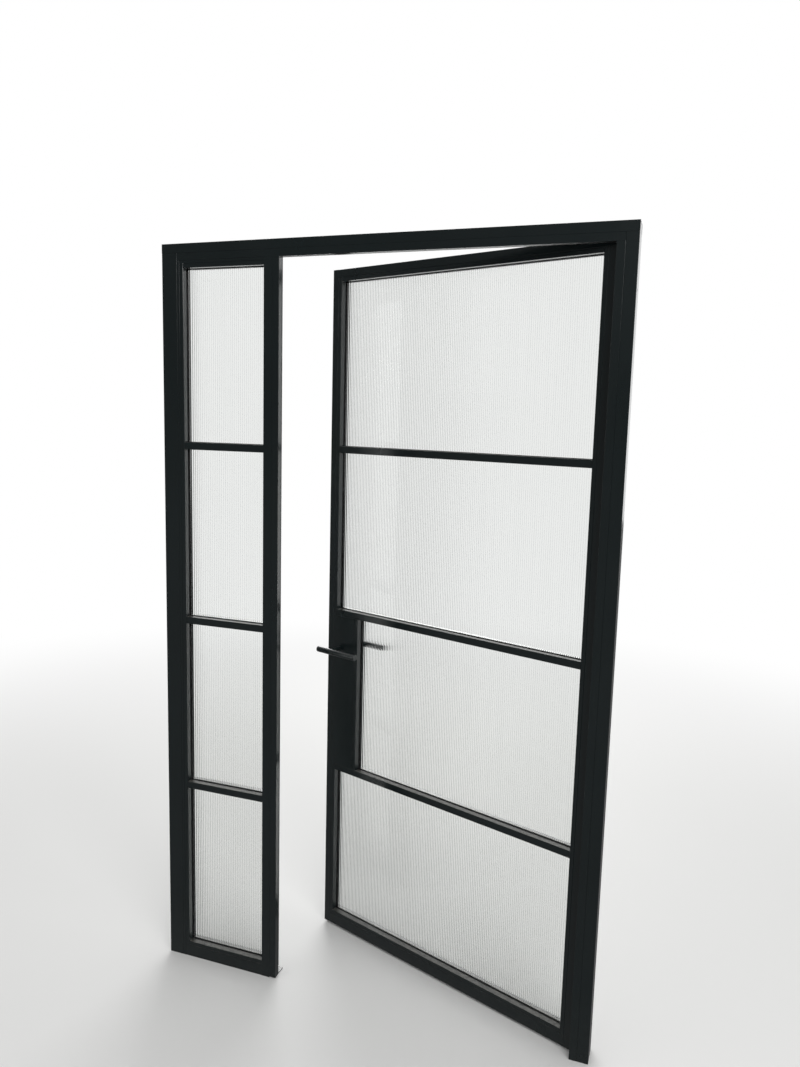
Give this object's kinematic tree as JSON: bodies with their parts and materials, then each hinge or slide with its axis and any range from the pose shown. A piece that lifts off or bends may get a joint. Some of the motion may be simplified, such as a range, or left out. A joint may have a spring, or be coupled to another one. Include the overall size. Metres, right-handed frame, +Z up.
{
  "type": "glass door with frame and sidelight",
  "caption": "Black steel-framed glazed door standing ajar in its frame beside a narrow fixed sidelight, with stacked reeded panes, slim bars, a flush lock box and tee levers.",
  "frame": {"origin": "middle of the hinge jamb's fixing holes, on the jamb's outer face; the floor is 1.05 m below", "axes": "+Z up, +X out of the hinge jamb's outer face so that the door set runs to -X, +Y away from the viewer, the way that the leaf opens"},
  "size_m": [1.266, 0.408, 2.1],
  "materials": {
    "black_steel": "satin black powder coat",
    "reeded_glass": "clear, smooth on the near face and finely reeded upright on the far face",
    "black_rubber": "matt black",
    "black_lever": "satin black",
    "lock_steel": "satin plated",
    "hinge_brass": "plain turned"
  },
  "bodies": {
    "frame": {"door_seal": "black_rubber", "frame_hinge_half_1": "black_steel", "frame_hinge_half_2": "black_steel", "frame_hinge_half_3": "black_steel", "head_rail": "black_steel", "head_stop": "black_steel", "hinge_jamb": "black_steel", "hinge_jamb_stop": "black_steel", "hinge_pins": "lock_steel", "hinge_washers": "hinge_brass", "left_jamb": "black_steel", "post": "black_steel", "post_foot_plate": "black_steel", "post_stop": "black_steel", "sidelight_bar_1": "black_steel", "sidelight_bar_2": "black_steel", "sidelight_bar_3": "black_steel", "sidelight_bar_caps": "black_steel", "sidelight_beads": "black_steel", "sidelight_bottom_rail": "black_steel", "sidelight_gaskets": "black_rubber", "sidelight_head_rail": "black_steel", "sidelight_pane_1": "reeded_glass", "sidelight_pane_2": "reeded_glass", "sidelight_pane_3": "reeded_glass", "sidelight_pane_4": "reeded_glass", "sidelight_side_angle": "black_steel", "sidelight_top_angle": "black_steel", "strike_plate": "lock_steel", "strike_screws": "lock_steel"},
    "leaf": {"leaf_bar_1": "black_steel", "leaf_bar_2": "black_steel", "leaf_bar_3": "black_steel", "leaf_bar_caps": "black_steel", "leaf_beads": "black_steel", "leaf_bottom_rail": "black_steel", "leaf_gaskets": "black_rubber", "leaf_hinge_half_1": "black_steel", "leaf_hinge_half_2": "black_steel", "leaf_hinge_half_3": "black_steel", "leaf_pane_1": "reeded_glass", "leaf_pane_2": "reeded_glass", "leaf_pane_3": "reeded_glass", "leaf_pane_4": "reeded_glass", "leaf_top_rail": "black_steel", "hinge_stile": "black_steel", "lock_stile": "black_steel", "near_lock_cover": "black_steel", "far_lock_cover": "black_steel", "lock_box_upright": "black_steel", "lock_case": "lock_steel", "forend": "lock_steel", "forend_screws": "lock_steel", "lever_collars": "black_lever"},
    "handle": {"near_lever": "black_lever", "far_lever": "black_lever", "spindle": "lock_steel", "follower": "lock_steel"},
    "latch": {"latch_bolt": "lock_steel"}
  },
  "joints": [
    {"name": "leaf_swing", "type": "hinge", "parent": "frame", "child": "leaf", "pos_m": [-0.0315, 0.0385, 0], "axis": [0, 0, -1], "range_deg": [-19, 91]},
    {"name": "handle_turn", "type": "hinge", "parent": "leaf", "child": "handle", "pos_m": [-0.83457, 0.2817, -0.114], "axis": [0.3256, 0.9455, 0], "range_deg": [0, 35], "stiffness_Nm_per_rad": 2, "springref_deg": -20.05},
    {"name": "latch_slide", "type": "slide", "parent": "leaf", "child": "latch", "axis": [0.9455, -0.3256, 0], "range_m": [0, 0.01]}
  ],
  "couplings": [
    {"joint": "latch_slide", "follows": "handle_turn", "m_per_rad": 0.0163}
  ]
}
